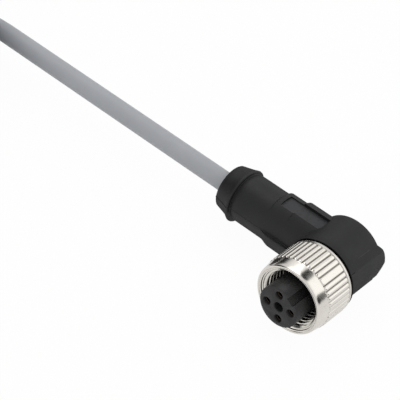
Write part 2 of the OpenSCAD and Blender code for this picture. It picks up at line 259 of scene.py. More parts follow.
def swept_wall(bm, stations, place, segments, warp=0.0, closed=False):
    """Extrudes a ring through stations, where place(station, angle) gives a point.

    A closed wall meets its first ring, and an open one gets a cap at each end."""
    ring = bmesh.ops.create_circle(bm, segments=segments, radius=1)["verts"]
    angle = {}
    for v in ring:
        t = math.atan2(v.co.y, v.co.x)
        angle[v] = t - warp * math.sin(2 * t) / 2
    first = ring
    for i, station in enumerate(stations):
        if i:
            made = bmesh.ops.extrude_edge_only(bm, edges=ring_edges(ring))["geom"]
            fresh = [g for g in made if isinstance(g, bmesh.types.BMVert)]
            known = {tuple(v.co): angle[v] for v in ring}
            for v in fresh:
                angle[v] = known[tuple(v.co)]
            ring = fresh
        for v in ring:
            v.co = place(station, angle[v])
    if closed:
        bmesh.ops.bridge_loops(bm, edges=ring_edges(first) + ring_edges(ring))
    else:
        for loop in (first, ring):
            bmesh.ops.contextual_create(bm, geom=ring_edges(loop))
    bmesh.ops.recalc_face_normals(bm, faces=bm.faces)
    return bm


def round_y(centre_x, y, r, a):
    """A point on a circle about an axis along Y; angle 0 is +X and a quarter turn is +Z."""
    return Vector((centre_x + r * math.cos(a), y, r * math.sin(a)))


def round_x(x, r, a):
    """A point on a circle about the cable's axis; angle 0 is +Y and a quarter turn is +Z."""
    return Vector((x, CABLE_Y + r * math.cos(a), r * math.sin(a)))


def crease(mesh, degrees):
    """Smooth shading that breaks at edges sharper than an angle."""
    bm = bmesh.new()
    bm.from_mesh(mesh)
    limit = math.radians(degrees)
    for face in bm.faces:
        face.smooth = True
    for edge in bm.edges:
        edge.smooth = len(edge.link_faces) == 2 and edge.calc_face_angle(0) < limit
    bm.to_mesh(mesh)
    bm.free()


def piece_from(bm, name, crease_at=30):
    """Turns a bmesh in millimetres into an object in metres."""
    bmesh.ops.scale(bm, vec=(MM, MM, MM), verts=bm.verts)
    mesh = bpy.data.meshes.new(name)
    bm.to_mesh(mesh)
    bm.free()
    crease(mesh, crease_at)
    piece = bpy.data.objects.new(name, mesh)
    bpy.context.collection.objects.link(piece)
    return piece


def combine(piece, other, operation, crease_at=30):
    """Adds or cuts one piece with another, and removes the other."""
    change = piece.modifiers.new("combine", "BOOLEAN")
    change.operation = operation
    change.object = other
    change.solver = "MANIFOLD"
    depsgraph = bpy.context.evaluated_depsgraph_get()
    mesh = bpy.data.meshes.new_from_object(piece.evaluated_get(depsgraph))
    piece.modifiers.clear()
    old = piece.data
    piece.data = mesh
    bpy.data.meshes.remove(old)
    bpy.data.meshes.remove(other.data)
    crease(mesh, crease_at)
    return piece


def rod(name, from_point, to_point, radius, segments=64):
    """A plain round bar between two points."""
    bm = bmesh.new()
    a, b = Vector(from_point), Vector(to_point)
    turn = (b - a).to_track_quat("Z", "Y").to_matrix().to_4x4()
    place = Matrix.Translation((a + b) / 2) @ turn
    bmesh.ops.create_cone(bm, cap_ends=True, segments=segments, radius1=radius, radius2=radius,
                          depth=(b - a).length, matrix=place)
    return piece_from(bm, name)


def block(name, low, high, rounding=0.0):
    """A box between two corners, with its edges rounded."""
    bm = bmesh.new()
    low, high = Vector(low), Vector(high)
    place = Matrix.Translation((low + high) / 2) @ Matrix.Diagonal((*(high - low), 1))
    bmesh.ops.create_cube(bm, size=1, matrix=place)
    if rounding:
        bmesh.ops.bevel(bm, geom=bm.edges[:], offset=rounding, segments=3, profile=0.5, affect="EDGES",
                        material=-1)
    return piece_from(bm, name)


def lathed(name, profile, segments=96, centre=(0, 0), closed=True, crease_at=30):
    """A turned piece about an axis along Y, from a profile of (y, radius)."""
    def place(station, a):
        return round_y(0, station[0], station[1], a) + Vector((centre[0], 0, centre[1]))

    bm = bmesh.new()
    swept_wall(bm, profile, place, segments, closed=closed)
    return piece_from(bm, name, crease_at)


def tube_curve(name, points, radius, resolution):
    """A round cord as a curve of one open spline."""
    data = bpy.data.curves.new(name, "CURVE")
    data.dimensions = "3D"
    data.bevel_depth = radius * MM
    data.bevel_resolution = resolution
    data.use_fill_caps = True
    spline = data.splines.new("POLY")
    spline.points.add(len(points) - 1)
    for point, place in zip(spline.points, points):
        point.co = (*(place * MM), 1)
    spline.use_smooth = True
    piece = bpy.data.objects.new(name, data)
    bpy.context.collection.objects.link(piece)
    return piece


def dress(piece, body, slot, material, *nodes):
    """Rides a finished piece on its body, gives it its finish and hides the solids it stands for."""
    piece.data.materials.clear()
    piece.data.materials.append(material)
    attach(piece, body)
    if nodes:
        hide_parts(*nodes)
    return piece


# ---- Cable ----
def cable_route():
    """The whole centreline: straight out of the collar, round the hank, and out of its lowest layer."""
    route = []
    for (x0, z0), (x1, z1) in zip(STRAIGHT_RUN, STRAIGHT_RUN[1:]):
        steps = max(2, int(math.hypot(x1 - x0, z1 - z0) / 2))
        for i in range(steps):
            t = i / steps
            rise = t * t * (3 - 2 * t)
            route.append(Vector((x0 + t * (x1 - x0), CABLE_Y, z0 + rise * (z1 - z0))))
    top = LAYERS - 1

    def outer_rise(turn):
        return lambda f: (1, 1 + turn + f)

    def over_the_top(f):
        return 1 - math.sin(QUARTER * f), top - 1 + f + math.cos(QUARTER * f)

    def inner_fall(turn):
        return lambda f: (0, top - turn - math.sin(QUARTER * f))

    def out_at_the_floor(f):
        drop = 1 - math.sin(QUARTER * f)
        return math.sqrt(max(0, 1 - drop * drop)), 0

    turns = [outer_rise(i) for i in range(top - 1)] + [over_the_top]
    turns += [inner_fall(i) for i in range(top)] + [out_at_the_floor]
    for place in turns:
        route += one_turn(place, 1)
    route += one_turn(lambda f: (1, 0), 0.75)
    route += [Vector((-RUN_START + x, EXIT_Y, LAYER_Z)) for x in range(0, TAIL_LEN + 1, 2)]
    return route


def one_turn(place, share):
    """Points of a share of one turn of the hank. place(f) gives the column and the layer at share f."""
    points = []
    total = 4 * TURN_POINTS
    for i in range(round(share * total)):
        column, layer = place(i / total)
        r = TURN_R + TURN_PITCH * column
        part, step = divmod(i, TURN_POINTS)
        t = step / TURN_POINTS
        if part == 0:
            x, y = -RUN_START - RUN_LEN * t, r
        elif part == 1:
            x, y = -RUN_START - RUN_LEN - r * math.sin(math.pi * t), r * math.cos(math.pi * t)
        elif part == 2:
            x, y = -RUN_START - RUN_LEN * (1 - t), -r
        else:
            x, y = -RUN_START + r * math.sin(math.pi * t), -r * math.cos(math.pi * t)
        points.append(Vector((x, HANK_Y + y, LAYER_Z + TURN_PITCH * layer)))
    return points


# ---- Elbow ----
def raised(a, height):
    """Radius of the upper half, raised by a height at its far side and fading out towards the front."""
    return BARREL_R + height * (1 if a < RAISED_LEAN else max(0, math.cos(a - RAISED_LEAN)))


def seam(r, a, height, width):
    """Height of the fine line along the parting plane, at an angle on a round of radius r."""
    return height * math.exp(-((r * math.sin(a)) / width) ** 2)


def barrel_radius(x, a):
    """Radius of the barrel at a distance from the mating axis and an angle about the cable's axis."""
    a %= FULL
    if a <= math.pi:
        r = BARREL_R
        for start_x, end_x, height in RAISED_STEPS:
            r += (raised(a, height) - r) * smooth_step(start_x, end_x, x)
    else:
        slim = BARREL_R + 0.03
        r = slim + (LOWER_R - slim) * smooth_step(*LOWER_TAPER, x)
    r += (BACK_R - r) * smooth_step(*BACK_TAPER, x)
    return r + seam(r, a, *BARREL_SEAM)


def barrel():
    """Collar, slim barrel, thick section and the end under the head.

    A station without a radius takes it from barrel_radius."""
    distances = [22.4 - i for i in range(6)]
    distances += [15.8, 15.6, 15.45, 15.38, 15.3, 15.22, 15.15]
    distances += [14.9 - 0.3 * i for i in range(5)]
    distances += [12.6, 11.8, 11.3, 11.25, 11.15, 11.05, 10.95]
    distances += [10.9 - i for i in range(7)]
    distances += [4.0, 2.5, 1.5, 1.2, 0.9, 0.6, 0.3, 0, -3, -7]

    def place(station, a):
        x, r = station
        if r is None:
            return round_x(-x, barrel_radius(x, a), a)
        swell = COLLAR_SWELL * smooth_step(0, -0.9, math.sin(a))
        swell *= smooth_step(*SWELL_RISE, x) * smooth_step(*SWELL_FALL, x)
        return round_x(-x, r + seam(r, a, *COLLAR_SEAM) + swell, a)

    bm = bmesh.new()
    stations = COLLAR_PROFILE + [(x, None) for x in distances]
    return swept_wall(bm, stations, place, ELBOW_SEGMENTS, warp=ELBOW_WARP)


def head():
    """The round block behind the nut, with its axis a little towards the cable."""
    stations = [(HEAD_Y, HEAD_R - 0.15), (HEAD_Y + 0.05, HEAD_R - 0.05), (HEAD_Y + 0.18, HEAD_R)]
    stations += [(HEAD_Y + 2 * i, HEAD_R) for i in range(1, 5)]
    for i in range(6):
        t = QUARTER * i / 5
        y = HEAD_END - HEAD_ROUNDING * (1 - math.sin(t))
        stations.append((y, HEAD_R - HEAD_ROUNDING * (1 - math.cos(t))))

    def place(station, a):
        y, r = station
        step = (HEAD_LOWER_R - HEAD_R) * smooth_step(0, -0.05, math.sin(a))
        return round_y(-HEAD_SHIFT, y, r + seam(r, a, *HEAD_SEAM) + step, a)

    bm = bmesh.new()
    return swept_wall(bm, stations, place, ELBOW_SEGMENTS, warp=ELBOW_WARP)


def end_caps(bm):
    """The many-sided faces that close the elbow's end."""
    return [f for f in bm.faces if len(f.verts) > 30 and f.normal.x > 0.95]


def flatten_end(piece, rounding):
    """Cuts the two drafted faces at the elbow's end and rounds their rims."""
    bm = bmesh.new()
    bm.from_mesh(piece.data)
    draft = math.tan(END_DRAFT)
    for side in (1, -1):
        cut = bmesh.ops.bisect_plane(bm, geom=bm.verts[:] + bm.edges[:] + bm.faces[:], dist=1e-7,
                                     plane_co=(END_X * MM, 0, 0), plane_no=(1, 0, side * draft),
                                     clear_outer=True)
        rim = [g for g in cut["geom_cut"] if isinstance(g, bmesh.types.BMEdge)]
        bmesh.ops.contextual_create(bm, geom=rim)
    bmesh.ops.recalc_face_normals(bm, faces=bm.faces)
    rim_verts = list({v for f in end_caps(bm) for v in f.verts})
    bmesh.ops.remove_doubles(bm, verts=rim_verts, dist=0.06 * MM)
    caps = end_caps(bm)
    rim = {e for f in caps for e in f.edges if not all(g in caps for g in e.link_faces)}
    bmesh.ops.bevel(bm, geom=list(rim), offset=rounding * MM, segments=3, profile=0.5, affect="EDGES",
                    material=-1)
    bm.to_mesh(piece.data)
    bm.free()
    crease(piece.data, 30)


def elbow():
    """The overmoulded body, with its label recess and the hollows for what it holds."""
    body = piece_from(barrel(), "elbow")
    beside = block("beside", (-HEAD_SHIFT, 0, -10), (12, 30, 10))
    outline = rod("outline", (-HEAD_SHIFT, -1, 0), (-HEAD_SHIFT, 31, 0), HEAD_R, ELBOW_SEGMENTS)
    combine(beside, outline, "DIFFERENCE")
    combine(body, beside, "DIFFERENCE")
    combine(body, piece_from(head(), "head"), "UNION")
    flatten_end(body, END_ROUNDING)
    combine(body, rod("rim", (0, RIM_Y, 0), (0, RIM_Y + RIM_T, 0), RIM_R, ELBOW_SEGMENTS), "UNION")
    recess_low = (RECESS_X[0], RECESS_Y[0], RECESS_Z)
    recess_high = (RECESS_X[1], RECESS_Y[1], RECESS_Z + 4.2)
    for cutter in (block("recess", recess_low, recess_high, RECESS_ROUNDING),
                   rod("neck_hole", (0, RIM_Y - 1, 0), (0, NECK_END, 0), NECK_HOLE_R),
                   rod("mould_hole", (MOULD_END_X, CABLE_Y, 0), (0, CABLE_Y, 0), MOULD_HOLE_R),
                   rod("jacket_hole", (-28, CABLE_Y, 0), (-10, CABLE_Y, 0), CABLE_R + JACKET_CLEARANCE)):
        combine(body, cutter, "DIFFERENCE")
    return body


# ---- Coupling nut ----
def knurl_groove(a):
    """Depth of the nearest knurl groove at an angle, from 0 on a land to 1 at the groove's root."""
    turn = (math.radians(INDEX_ANGLE - INDEX_LAND / 2) - a) % FULL
    step = math.radians(360 - INDEX_LAND) / (KNURL_COUNT - 1)
    nearest = min(KNURL_COUNT - 1, round(turn / step))
    gap = NUT_R * min(abs(turn - nearest * step), abs(turn - FULL))
    flank = 1 - smooth_step(*GROOVE_FLANK, gap)
    edge = 1 - smooth_step(*GROOVE_EDGE, gap)
    return GROOVE_FLANK_SHARE * flank + (1 - GROOVE_FLANK_SHARE) * edge


def thread_radius(y, a):
    """Inner wall of the nut: right-hand ridges between the chamfer at the mouth and the undercut."""
    phase = (y / THREAD_PITCH + a / FULL) % 1
    cut = smooth_step(*THREAD_FLANK, abs(2 * phase - 1))
    cut *= smooth_step(LIP_Y - 0.1, LIP_Y - 0.7, y)
    r = MINOR_R + (MAJOR_R - MINOR_R) * cut
    for (y0, r0), (y1, r1) in zip(MOUTH_STEPS, MOUTH_STEPS[1:]):
        if y0 <= y <= y1:
            r = max(r, r0 + (r1 - r0) * (y - y0) / (y1 - y0))
    return r


def coupling_nut():
    """The nut as one closed wall: out over the cone and the knurl, and back along the thread.

    A station without a radius takes it from thread_radius."""
    lip = [(NUT_LEN, LIP_BORE_R + 0.15, 0), (NUT_LEN - 0.15, LIP_BORE_R, 0), (LIP_Y, LIP_BORE_R, 0),
           (LIP_Y, MINOR_R + 0.2, 0)]
    deep = [LIP_Y - 0.02 - (LIP_Y - 0.62) * i / THREAD_STEPS for i in range(THREAD_STEPS + 1)]
    thread = [(y, None, 0) for y in deep + [0.5, 0.4, 0.28, 0.16, 0.1, 0.05, 0.02]]

    def place(station, a):
        y, r, share = station
        if r is None:
            r = thread_radius(y, a)
        elif share:
            r -= KNURL_DEPTH * knurl_groove(a) * share
        return round_y(0, y, r, a)

    bm = bmesh.new()
    swept_wall(bm, NUT_CONE + NUT_KNURL + NUT_BACK + lip + thread, place, NUT_SEGMENTS, closed=True)
    return piece_from(bm, "nut", crease_at=40)


# ---- Insert, contacts and seal ----
def contact_places():
    """Centre of each contact across the mating axis, from the one near the top towards the cable."""
    turns = [FULL * i / 4 + INSERT_TURN for i in range(4)]
    return [Vector((-math.sin(t), 0, math.cos(t))) * CONTACT_CIRCLE_R for t in turns]


def insert():
    """The moulded insert with its keyway, its blank hole and the contact holes."""
    profile = [(FACE_Y, INSERT_R - 0.07), (FACE_Y + 0.02, INSERT_R - 0.02), (FACE_Y + 0.06, INSERT_R),
               (INSERT_HEAD_END, INSERT_R), (INSERT_HEAD_END, SEAL_SEAT_R),
               (FLANGE_START, SEAL_SEAT_R), (FLANGE_START, FLANGE_R - FLANGE_EDGE),
               (FLANGE_START + FLANGE_EDGE, FLANGE_R), (FLANGE_END - FLANGE_EDGE, FLANGE_R),
               (FLANGE_END, FLANGE_R - FLANGE_EDGE), (FLANGE_END, INSERT_NECK_R), (INSERT_END, INSERT_NECK_R)]
    piece = lathed("insert", profile, closed=False)
    key_low = (INSERT_R - KEYWAY_DEPTH, FACE_Y - 2, -KEYWAY_W / 2)
    key = block("key", key_low, (INSERT_R + 2, KEYWAY_END, KEYWAY_W / 2), 0.14)
    key.data.transform(Matrix.Rotation(-math.radians(45) - INSERT_TURN, 4, "Y"))
    combine(piece, key, "DIFFERENCE")
    combine(piece, funnel("blank", (0, 0), *BLANK_HOLE), "DIFFERENCE")
    for centre in contact_places():
        combine(piece, funnel("entry", (centre.x, centre.z), *ENTRY_HOLE), "DIFFERENCE")
        seat_from = centre + Vector((0, CONTACT_Y - 0.02, 0))
        seat_to = centre + Vector((0, CONTACT_Y + CONTACT_LEN + 0.02, 0))
        combine(piece, rod("seat", seat_from, seat_to, SEAT_HOLE_R, 48), "DIFFERENCE")
        tail_to = centre + Vector((0, TAIL_END, 0))
        combine(piece, rod("tail", seat_to - Vector((0, 0.5, 0)), tail_to, TAIL_HOLE_R, 32), "DIFFERENCE")
    return piece


def funnel(name, centre, radius, depth, flare):
    """A cutter for a blind hole in the insert's face whose mouth flares."""
    y = FACE_Y
    profile = [(y - 1, radius + flare), (y, radius + flare), (y + 0.06, radius + flare * 0.55),
               (y + flare, radius + flare * 0.12), (y + 1.6 * flare, radius), (y + depth, radius)]
    return lathed(name, profile, 48, centre, closed=False)


def contact(place, centre):
    """A turned socket with a rounded mouth and a solder tail."""
    y = CONTACT_Y
    profile = [(y + 0.1, CONTACT_R), (y + 0.03, 0.8), (y, 0.72), (y + 0.02, 0.62), (y + 0.12, 0.55),
               (y + 0.3, CONTACT_BORE_R), (y + CONTACT_BORE_LEN, CONTACT_BORE_R), (y + 7.15, 0.3),
               (y + 7.2, 0.02), (TAIL_END + 0.02, 0.02), (TAIL_END, 0.5), (TAIL_END - 0.08, TAIL_R),
               (y + CONTACT_LEN + 0.05, TAIL_R), (y + CONTACT_LEN, 0.68), (y + CONTACT_LEN - 0.05, CONTACT_R)]
    return lathed("contact_%d_dressed" % place, profile, 48, (centre.x, centre.z), crease_at=50)


def seal():
    """The seal ring, a round section turned about the mating axis."""
    bm = bmesh.new()
    place = Matrix.Translation((SEAL_R, SEAL_Y, 0))
    made = bmesh.ops.create_circle(bm, segments=24, radius=SEAL_SECTION_R, matrix=place)
    geom = made["verts"] + ring_edges(made["verts"])
    bmesh.ops.spin(bm, geom=geom, cent=(0, 0, 0), axis=(0, 1, 0), angle=FULL, steps=96, use_merge=True)
    bmesh.ops.remove_doubles(bm, verts=bm.verts, dist=1e-4)
    bmesh.ops.recalc_face_normals(bm, faces=bm.faces)
    return piece_from(bm, "seal", crease_at=80)


# ---- Leads, their tinned ends and the tie ----
def curved(a, b, c, d, steps):
    """Points along a cubic curve from a to d that leaves towards b and arrives from c."""
    points = []
    for i in range(steps + 1):
        t = i / steps
        u = 1 - t
        points.append(a * u ** 3 + b * 3 * u * u * t + c * 3 * u * t * t + d * t ** 3)
    return points


def lead_end(i):
    """Where a core's insulation ends, on the floor."""
    return Vector((CUT_END_X + LEAD_LEN[i], EXIT_Y + LEAD_SPREAD[i], FLOOR_Z + CORE_R))


def lead(i):
    """One core from the jacket's cut end down to the floor, apart from the others."""
    turn = FULL * i / 4
    cut_end = Vector((CUT_END_X, EXIT_Y - BUNDLE_R * math.sin(turn), LAYER_Z + BUNDLE_R * math.cos(turn)))
    third = Vector((LEAD_LEN[i] / 3, 0, 0))
    stub = Vector((LEAD_STUB, 0, 0))
    a, b = cut_end + stub, lead_end(i) - stub
    points = [cut_end] + curved(a, a + third, b - 1.4 * third, b, 24) + [lead_end(i)]
    return tube_curve("%s_lead" % CORES[i], points, CORE_R, 3)


def tinned_end(i):
    """Seven strands laid together, six of them twisted round the middle one."""
    bm = bmesh.new()
    strand_r = TIP_R / 3
    outer = TIP_STRANDS - 1
    steps = 24
    end = lead_end(i)
    for strand in range(TIP_STRANDS):
        lay_r = 0 if strand == outer else 2 * strand_r
        around = Matrix.Translation(end) @ Matrix.Rotation(FULL * strand / outer, 4, "X")
        place = around @ Matrix.Translation((0, lay_r, 0)) @ Matrix.Rotation(QUARTER, 4, "Y")
        made = bmesh.ops.create_circle(bm, segments=10, radius=strand_r, matrix=place)
        bmesh.ops.spin(bm, geom=made["verts"] + ring_edges(made["verts"]), cent=end, axis=(1, 0, 0),
                       dvec=(TIP_LEN / steps, 0, 0), angle=TIP_TWIST, steps=steps, use_merge=False)
    bmesh.ops.holes_fill(bm, edges=[e for e in bm.edges if e.is_boundary])
    bmesh.ops.recalc_face_normals(bm, faces=bm.faces)
    return piece_from(bm, "%s_tinned_end" % CORES[i], crease_at=60)


def rounded_loop(y0, y1, z0, z1, r):
    """A rectangle round the hank with rounded corners, as (y, z) places in order."""
    corners = ((y1 - r, z1 - r, 0), (y0 + r, z1 - r, 90), (y0 + r, z0 + r, 180), (y1 - r, z0 + r, 270))
    path = []
    for y, z, from_degrees in corners:
        for i in range(7):
            a = math.radians(from_degrees + 15 * i)
            path.append((y + r * math.cos(a), z + r * math.sin(a)))
    return path


def tie():
    """A woven strap round the hank, with its free end lapped over on top."""
    bm = bmesh.new()
    loops = []
    for out in (0, STRAP_PLY):
        path = rounded_loop(tie_low.y + TIE_T - out, tie_high.y - TIE_T + out,
                            tie_low.z + TIE_T - out, tie_high.z - TIE_T + out, CABLE_R + out)
        verts = [bm.verts.new((tie_low.x, y, z)) for y, z in path]
        loops += [bm.edges.new((a, b)) for a, b in zip(verts, verts[1:] + verts[:1])]
    bmesh.ops.bridge_loops(bm, edges=loops)
    width = tie_high.x - tie_low.x
    made = bmesh.ops.extrude_face_region(bm, geom=bm.faces[:], use_keep_orig=True)["geom"]
    fresh = [g for g in made if isinstance(g, bmesh.types.BMVert)]
    bmesh.ops.translate(bm, vec=(width, 0, 0), verts=fresh)
    bmesh.ops.recalc_face_normals(bm, faces=bm.faces)
    strap = piece_from(bm, "strap", crease_at=50)
    top = tie_high.z - TIE_T + STRAP_PLY
    middle = (tie_low.y + tie_high.y) / 2
    lap_low = (tie_low.x + LAP_INSET, middle + LAP_ENDS[0], top - 0.05)
    lap_high = (tie_high.x - LAP_INSET, middle + LAP_ENDS[1], top + STRAP_PLY)
    return combine(strap, block("lap", lap_low, lap_high, 0.1), "UNION", crease_at=50)


# ---- Node helpers ----
def feed(tree, socket, value):
    """Links another socket to one, or sets its value."""
    if isinstance(value, bpy.types.NodeSocket):
        tree.links.new(value, socket)
    else:
        socket.default_value = value


def add(tree, kind, values=(), **settings):
    """Adds a node with settings, and feeds its sockets in order or by name."""
    made = tree.nodes.new(kind)
    for key, value in settings.items():
        setattr(made, key, value)
    pairs = values.items() if isinstance(values, dict) else enumerate(values)
    for socket, value in pairs:
        feed(tree, made.inputs[socket], value)
    return made


def number(tree, operation, *values):
    """The result of one step of arithmetic on numbers or sockets."""
    return add(tree, "ShaderNodeMath", values, operation=operation).outputs[0]


def product(tree, first, *others):
    """All the values multiplied together."""
    for other in others:
        first = number(tree, "MULTIPLY", first, other)
    return first


def fade(tree, value, from_value, to_value, low=0.0, high=1.0):
    """Goes from low to high as a value goes from one to another, and stays there beyond them."""
    return add(tree, "ShaderNodeMapRange", (value, from_value, to_value, low, high)).outputs[0]


def blend(tree, share, a, b):
    """A colour between two."""
    return add(tree, "ShaderNodeMix", {0: share, 6: a, 7: b}, data_type="RGBA").outputs[2]


def scale_for(width_mm):
    """Scale of a texture whose marks are about so many millimetres wide."""
    return 1 / (width_mm * MM)


def noise(tree, place, scale, detail=2.0):
    """Soft noise from 0 to 1."""
    return add(tree, "ShaderNodeTexNoise", {"Vector": place, "Scale": scale, "Detail": detail}).outputs[0]


def split(tree, place):
    """The X, Y and Z of a place."""
    return add(tree, "ShaderNodeSeparateXYZ", (place,)).outputs


def shade(color, factor=1.0):
    """A colour made lighter or darker, with its alpha."""
    return tuple(factor * c for c in color) + (1,)


def new_group(name, inputs, outputs):
    """A node group with named sockets. Gives the tree, its inputs by name and its output node's sockets."""
    tree = bpy.data.node_groups.new(name, "ShaderNodeTree")
    for label, kind in inputs:
        tree.interface.new_socket(label, in_out="INPUT", socket_type="NodeSocket" + kind)
    for label in outputs:
        tree.interface.new_socket(label, in_out="OUTPUT", socket_type="NodeSocketFloat")
    return tree, tree.nodes.new("NodeGroupInput").outputs, tree.nodes.new("NodeGroupOutput").inputs


def moulded_skin_group():
    """The skin of a moulded or extruded plastic: its grain as a height, and soft uneven patches."""
    inputs = (("Place", "Vector"), ("Grain", "Float"), ("Patch", "Float"))
    tree, given, out = new_group("moulded_skin", inputs, ("Height", "Patches"))
    fine = noise(tree, given["Place"], given["Grain"], 3.0)
    swells = noise(tree, given["Place"], number(tree, "MULTIPLY", given["Grain"], 0.12), 1.0)
    feed(tree, out["Height"], number(tree, "ADD", fine, number(tree, "MULTIPLY", swells, 1.5)))
    feed(tree, out["Patches"], fade(tree, noise(tree, given["Place"], given["Patch"], 4.0), 0.35, 0.65))
    return tree


def metal_skin_group():
    """The skin of a plated or tinned metal: fine pits as a height, dull stains and sharper specks."""
    inputs = (("Place", "Vector"), ("Pits", "Float"), ("Stain", "Float"))
    tree, given, out = new_group("metal_skin", inputs, ("Height", "Stains", "Specks"))
    feed(tree, out["Height"], noise(tree, given["Place"], given["Pits"]))
    feed(tree, out["Stains"], fade(tree, noise(tree, given["Place"], given["Stain"], 5.0), 0.45, 0.72))
    specks = noise(tree, given["Place"], number(tree, "MULTIPLY", given["Stain"], 9.0))
    feed(tree, out["Specks"], fade(tree, specks, 0.66, 0.74))
    return tree


def use(tree, group, **values):
    """Places a group in a material and gives its outputs."""
    made = tree.nodes.new("ShaderNodeGroup")
    made.node_tree = group
    for label, value in values.items():
        feed(tree, made.inputs[label], value)
    return made.outputs


def start(name, roughness, metallic=0.0):
    """A material with its plain values set. Gives it, its tree, its shader and the place on the object."""
    material = bpy.data.materials.new(name)
    material.use_nodes = True
    tree = material.node_tree
    shader = tree.nodes["Principled BSDF"]
    shader.inputs["Roughness"].default_value = roughness
    shader.inputs["Metallic"].default_value = metallic
    place = tree.nodes.new("ShaderNodeTexCoord").outputs["Object"]
    return material, tree, shader, place


def emboss(tree, shader, height, depth_mm):
    """Gives the shader a bump from a height."""
    bump = add(tree, "ShaderNodeBump", {"Height": height, "Distance": depth_mm * MM, "Strength": 1.0})
    feed(tree, shader.inputs["Normal"], bump.outputs[0])


# ---- Finishes ----
PLASTICS = {
    # colour, roughness, width and depth of the grain in mm, unevenness, gloss
    "body_black": ((0.0070, 0.0072, 0.0074), 0.55, 0.14, 0.005, 0.3, 0.38),
    "insert_black": ((0.0155, 0.0155, 0.0155), 0.45, 0.1, 0.003, 0.2, 0.35),
    "seal_rubber": ((0.018, 0.018, 0.018), 0.6, 0.2, 0.006, 0.3, 0.3),
    "inner_plastic": ((0.08, 0.08, 0.085), 0.5, 0.3, 0.01, 0.25, 0.45),
    "jacket_pvc": ((0.38, 0.392, 0.416), 0.5, 0.35, 0.012, 0.05, 0.3),
    "brown_core": ((0.16, 0.06, 0.025), 0.38, 0.2, 0.004, 0.15, 0.45),
    "white_core": ((0.80, 0.80, 0.77), 0.38, 0.2, 0.004, 0.05, 0.45),
    "blue_core": ((0.02, 0.08, 0.40), 0.38, 0.2, 0.004, 0.15, 0.45),
    "black_core": ((0.015, 0.015, 0.015), 0.38, 0.2, 0.004, 0.2, 0.45),
}
# Width of the uneven patches in a plastic's shine
PATCH_MM = 5
RECESS_TONE = (0.034, 0.035, 0.038)
# Painted shade: black for the rim in the gap behind the nut
RIM_PAINTED_SHADE = (0.001, 0.001, 0.001)
NICKEL = (0.74, 0.71, 0.66)
NICKEL_SPECK = (0.42, 0.38, 0.32)
# Colour of the dirt and painted shade in the nut's grooves and thread
GRIME_AND_PAINTED_SHADE = (0.045, 0.042, 0.038)
# Where the nut is darkened by dirt and by painted shade, in mm: radii from a clean land down to a groove's
# root, radii from a clean flank up to a thread's root, radii where the inner wall begins, and distances from
# the mouth over which the thread gets darker with painted shade
GROOVE_DIRT_AND_SHADE = (7.44, 7.2)
THREAD_DIRT_AND_SHADE = (5.84, 5.97)
INNER_WALL = (6.12, 6.02)
DEEP_PAINTED_SHADE = (0.4, 2.2)
# Gold and its stains, painted far darker than gold as the shade inside the contact holes
GOLD_IN_PAINTED_SHADE, GOLD_STAIN_IN_PAINTED_SHADE = (0.036, 0.026, 0.019), (0.02, 0.015, 0.011)
TIN, TIN_STAIN, COPPER = (0.72, 0.71, 0.69), (0.52, 0.5, 0.47), (0.6, 0.32, 0.2)
STRAP, STRAP_RIB = (0.012, 0.012, 0.013), (0.035, 0.035, 0.037)


def plastic(name, color, roughness, grain_mm, depth_mm, unevenness, gloss):
    """A moulded or extruded plastic with its grain and slightly uneven shine."""
    material, tree, shader, place = start(name, roughness)
    skin = use(tree, moulded_skin, Place=place, Grain=scale_for(grain_mm), Patch=scale_for(PATCH_MM))
    tone = blend(tree, skin["Patches"], shade(color, 1 - unevenness / 2), shade(color, 1 + unevenness / 2))
    feed(tree, shader.inputs["Base Color"], tone)
    rough = fade(tree, skin["Patches"], 0, 1, roughness - 0.05, roughness + 0.05)
    feed(tree, shader.inputs["Roughness"], rough)
    shader.inputs["Specular IOR Level"].default_value = gloss
    emboss(tree, shader, skin["Height"], depth_mm)
    return material


def mark_elbow(material):
    """Makes the elbow paler on its bare recess, black with painted shade at the rim behind the nut, and
    duller seen edge-on.
    """
    tree = material.node_tree
    shader = tree.nodes["Principled BSDF"]
    place = tree.nodes.new("ShaderNodeTexCoord").outputs["Object"]
    parts = split(tree, place)
    recess = product(tree, number(tree, "LESS_THAN", parts["Z"], (RECESS_Z + 0.03) * MM),
                     number(tree, "GREATER_THAN", parts["Z"], (RECESS_Z - 0.03) * MM),
                     number(tree, "GREATER_THAN", parts["X"], (RECESS_X[0] - 0.1) * MM),
                     number(tree, "GREATER_THAN", parts["Y"], (RECESS_Y[0] - 0.1) * MM),
                     number(tree, "LESS_THAN", parts["Y"], (RECESS_Y[1] + 0.02) * MM))
    mottle = fade(tree, noise(tree, place, scale_for(0.5), 3.0), 0.3, 0.7, 0.6, 1.0)
    skin = shader.inputs["Base Color"].links[0].from_socket
    tone = blend(tree, product(tree, recess, mottle), skin, shade(RECESS_TONE))
    # Painted shade: the rim behind the nut is made black and fully metallic, so it reflects almost nothing
    # and shows as the shaded gap
    rim_end = RIM_Y + RIM_T
    rim = fade(tree, parts["Y"], rim_end * MM, (rim_end + 0.03) * MM, 1, 0)
    rim = product(tree, rim, number(tree, "GREATER_THAN", parts["X"], -RIM_R * MM))
    feed(tree, shader.inputs["Base Color"], blend(tree, rim, tone, shade(RIM_PAINTED_SHADE)))
    feed(tree, shader.inputs["Metallic"], rim)
    sideways = tree.nodes.new("ShaderNodeLayerWeight").outputs["Facing"]
    duller = fade(tree, sideways, 0.5, 0.95, 0, 0.4)
    rough = shader.inputs["Roughness"].links[0].from_socket
    feed(tree, shader.inputs["Roughness"], number(tree, "ADD", rough, duller))


